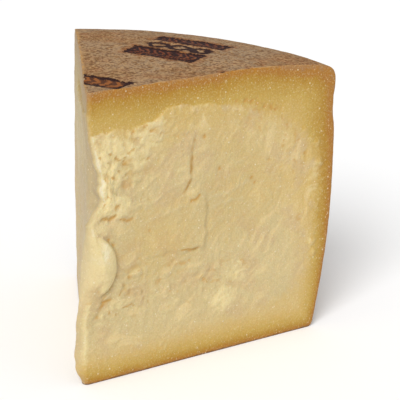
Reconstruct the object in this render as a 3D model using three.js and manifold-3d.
// A wedge of a wheel of hard, grainy cheese, split open with a short knife rather than sliced.
//
// Units are millimetres and +Z is up. The wheel's flat underside lies on Z = 0 and its axis is the
// pointed end of the wedge. The wedge opens towards +Y, evenly on both sides of the YZ plane, and
// is then slid along Y so that its box is centred on the origin.
//
// The whole wheel is turned from one profile, and the wedge is where that wheel overlaps a sector
// block whose two long sides are the split faces. The cheese is one solid: its rind is the same
// paste, dried at the surface.

import * as THREE from 'three';
import { mergeVertices } from 'three/addons/utils/BufferGeometryUtils.js';
import Module from 'manifold-3d';

// ---------------------------------------------------------------------------
// Driving dimensions
// ---------------------------------------------------------------------------

// The wheel.
const wheel_height = 210; // flat underside to the flat middle of the top
const belly_radius = 206; // widest ring of the heel, the wheel's curved side
const heel_steps = 26; // straight facets across the heel of the wedge

// The underside and the lower heel, which leans inwards to a smaller foot.
const foot_inset = 13.5; // how far the foot stands inside the widest ring
const foot_corner = 4; // rounding between the underside and the heel
const foot_lean = 1; // how far the heel has already spread at the top of that rounding

// The belly and the upper heel, with the faint groove left by the mould's cloth.
const belly_height = 23; // straight stretch of the heel at its full width
const groove_depth = 2.4;
const groove_width = 52;
const groove_below_shoulder = 16; // shoulder down to the middle of the groove

// The shoulder and the slightly crowned top.
const shoulder_inset = 12; // width of the rounding between the heel and the top
const shoulder_drop = 13; // height of that rounding
const shoulder_fullness = 0.62; // how far the rounding keeps out to its corner: 0 is a bevel
const crown_drop = 6.5; // fall of the top, from its flat middle to the shoulder
const crown_width = 84; // width over which the top falls away

// The wedge.
const wedge_angle = 63.5; // degrees between the two split faces
const nose_radius = 2.5; // rounding of the pointed end
const foot_flare = 5; // how far the foot of the nose stands out on the -X side
const foot_flare_height = 150; // height over which it dies out
const foot_flare_reach = 75; // distance along the face over which it dies out

// The split faces: cut clean along the rind, broken and uneven inside it.
const clean_rim_top = 16; // width of the clean band under the top
const clean_rim_heel = 13; // width of the clean band along the heel
const clean_rim_foot = 7; // width of the clean band above the underside
const break_softness = 16; // distance over which the clean band turns into the break
const hollow_depth = 2.2; // how far the break lies behind the clean band, on average
const face_steps = 20; // cells across a split face, and up it

// The break swells in three crossing waves, in millimetres and degrees from level.
const break_waves = [
  { length: 97, heading: 20, height: 1.1 },
  { length: 61, heading: 105, height: 0.8 },
  { length: 43, heading: 155, height: 0.6 },
];

// Finish.
const rind_colour = 0xb08a63;
const cheese_roughness = 0.62;

// ---------------------------------------------------------------------------
// The wheel
// ---------------------------------------------------------------------------

/** Outline of half the wheel, from the middle of the underside round to the middle of the top. */
function wheelProfile() {
  const foot_radius = belly_radius - foot_inset;
  const crown_edge = wheel_height - crown_drop;
  const shoulder_height = crown_edge - shoulder_drop;
  const shoulder_radius = belly_radius - shoulder_inset;
  const neck_radius = belly_radius - groove_depth / 2;
  const groove_height = shoulder_height - groove_below_shoulder;
  const groove_foot = groove_height - groove_width / 2;
  const taper_height = groove_foot - belly_height;

  const outline = new THREE.Path();
  outline.moveTo(0, 0);
  outline.lineTo(foot_radius - foot_corner, 0);
  outline.quadraticCurveTo(foot_radius, 0, foot_radius + foot_lean, foot_corner);
  outline.quadraticCurveTo(belly_radius, taper_height / 2, belly_radius, taper_height);
  outline.lineTo(belly_radius, groove_foot);
  outline.bezierCurveTo(
    belly_radius, groove_foot + groove_width / 4,
    belly_radius - groove_depth, groove_height - groove_width / 4,
    belly_radius - groove_depth, groove_height,
  );
  outline.bezierCurveTo(
    belly_radius - groove_depth, groove_height + groove_below_shoulder / 2,
    neck_radius, shoulder_height - groove_below_shoulder / 2,
    neck_radius, shoulder_height,
  );
  outline.bezierCurveTo(
    neck_radius, shoulder_height + shoulder_drop * shoulder_fullness,
    shoulder_radius + shoulder_inset * shoulder_fullness, crown_edge - crown_drop / 6,
    shoulder_radius, crown_edge,
  );
  outline.quadraticCurveTo(
    shoulder_radius - crown_width / 2, wheel_height,
    shoulder_radius - crown_width, wheel_height,
  );
  outline.lineTo(0, wheel_height);
  return outline;
}

/** The whole wheel, standing on its underside. */
function wheelGeometry() {
  const curve_steps = 6;
  const points = wheelProfile().getPoints(curve_steps);
  const turn_steps = Math.round((heel_steps * 360) / wedge_angle);
  const wheel = new THREE.LatheGeometry(points, turn_steps);
  wheel.rotateX(Math.PI / 2);
  return wheel;
}

// ---------------------------------------------------------------------------
// The split faces
// ---------------------------------------------------------------------------

/** Share of the break at a place on a split face: 0 on the clean band, 1 well inside it. */
function brokenShare(reach, height) {
  const from_heel = belly_radius - reach - clean_rim_heel;
  const from_top = wheel_height - height - clean_rim_top;
  const from_foot = height - clean_rim_foot;
  const inside = Math.min(from_heel, from_top, from_foot);
  return THREE.MathUtils.smoothstep(inside, 0, break_softness);
}

/** Swelling of the break at a place on a split face; the phase sets the two faces apart. */
function breakSwelling(reach, height, phase) {
  let swelling = 0;
  for (const wave of break_waves) {
    const heading = THREE.MathUtils.degToRad(wave.heading);
    const along = reach * Math.cos(heading) + height * Math.sin(heading);
    swelling += wave.height * Math.sin((2 * Math.PI * along) / wave.length + phase);
  }
  return swelling;
}

/** How far the nose stands out on the -X side at a height: most at the foot. */
function footFlare(height) {
  return foot_flare * (1 - THREE.MathUtils.smoothstep(height, 0, foot_flare_height));
}

/**
 * How far a split face stands out at a place on it.
 *
 * The clean band along the rind stands at zero, the break inside it is slightly hollow, and the
 * foot of the nose flares out on the -X side.
 */
function faceRelief(side, reach, height, nose_reach) {
  const phase = side > 0 ? 1 : 4;
  const off_nose = THREE.MathUtils.smoothstep(reach, nose_reach, nose_reach + break_softness);
  const break_height = breakSwelling(reach, height, phase) - hollow_depth;
  const relief = brokenShare(reach, height) * off_nose * break_height;
  if (side > 0) {
    return relief;
  }
  const near = 1 - THREE.MathUtils.smoothstep(reach, nose_reach, foot_flare_reach);
  return relief + footFlare(height) * near;
}

/**
 * A block that holds the wedge: the space between the two split faces.
 *
 * A box is bent into a sector. Across the box becomes the turn from one split face to the other,
 * along it the distance from the wheel's axis, and up it stays up. The near end is wrapped round
 * the nose, and the two sides take the relief of the break.
 */
function sectorGeometry() {
  const margin = 12; // the block reaches past the wheel, so the wheel's own surface is left
  const across_steps = 6;
  const length = belly_radius + margin;
  const depth = wheel_height + 2 * margin;
  const half_angle = THREE.MathUtils.degToRad(wedge_angle / 2);
  const nose_centre = nose_radius / Math.sin(half_angle);
  const nose_reach = nose_centre * Math.cos(half_angle);
  const far_reach = length / Math.cos(half_angle);
  const nose_swing = Math.PI / 2 - half_angle;
  const block = new THREE.BoxGeometry(2, 1, depth, across_steps, face_steps, face_steps);
  const place = block.attributes.position;

  for (let i = 0; i < place.count; i += 1) {
    const across = place.getX(i);
    const along = place.getY(i) + 0.5;
    const height = place.getZ(i) + wheel_height / 2;
    const reach = THREE.MathUtils.lerp(nose_reach, far_reach, along);
    let x = Math.sin(across * half_angle) * reach;
    let y = Math.cos(across * half_angle) * reach;
    let relief = 0;
    if (Math.abs(across) === 1) {
      relief = faceRelief(across, reach, height, nose_reach);
    }
    if (along === 0) {
      x = Math.sin(across * nose_swing) * nose_radius;
      y = nose_centre - Math.cos(across * nose_swing) * nose_radius;
      relief = footFlare(height) * Math.max(0, -across);
    }
    x += Math.sign(across) * Math.cos(half_angle) * relief;
    y -= Math.sin(half_angle) * relief;
    place.setXYZ(i, x, y, height);
  }
  return block;
}

// ---------------------------------------------------------------------------
// The wedge
// ---------------------------------------------------------------------------

/** A solid for joining and cutting, from a closed geometry. */
function solidFrom(wasm, geometry) {
  const bare = geometry.clone();
  bare.deleteAttribute('normal');
  bare.deleteAttribute('uv');
  const welded = mergeVertices(bare, 1e-4);
  return new wasm.Manifold(new wasm.Mesh({
    numProp: 3,
    vertProperties: Float32Array.from(welded.attributes.position.array),
    triVerts: Uint32Array.from(welded.index.array),
  }));
}

/** A geometry to draw, from a solid. */
function geometryFrom(solid) {
  const mesh = solid.getMesh();
  const geometry = new THREE.BufferGeometry();
  geometry.setAttribute('position', new THREE.BufferAttribute(mesh.vertProperties, 3));
  geometry.setIndex(new THREE.BufferAttribute(mesh.triVerts, 1));
  geometry.computeVertexNormals();
  return geometry;
}

/** The wedge: the part of the wheel that lies between the two split faces. */
function wedgeMesh(wasm) {
  const wheel = solidFrom(wasm, wheelGeometry());
  const sector = solidFrom(wasm, sectorGeometry());
  const geometry = geometryFrom(wheel.intersect(sector));
  const material = new THREE.MeshStandardMaterial({
    color: rind_colour,
    roughness: cheese_roughness,
    metalness: 0,
  });
  const wedge = new THREE.Mesh(geometry, material);
  wedge.name = 'cheese_wedge';
  return wedge;
}

/** Slides a mesh along Y so that its box is centred on the origin in plan. */
function centreAlongY(mesh) {
  mesh.geometry.computeBoundingBox();
  const box = mesh.geometry.boundingBox;
  mesh.position.y = -(box.min.y + box.max.y) / 2;
}

const wasm = await Module();
wasm.setup();

const wedge = wedgeMesh(wasm);
centreAlongY(wedge);

const cheese = new THREE.Group();
cheese.add(wedge);

export default cheese;
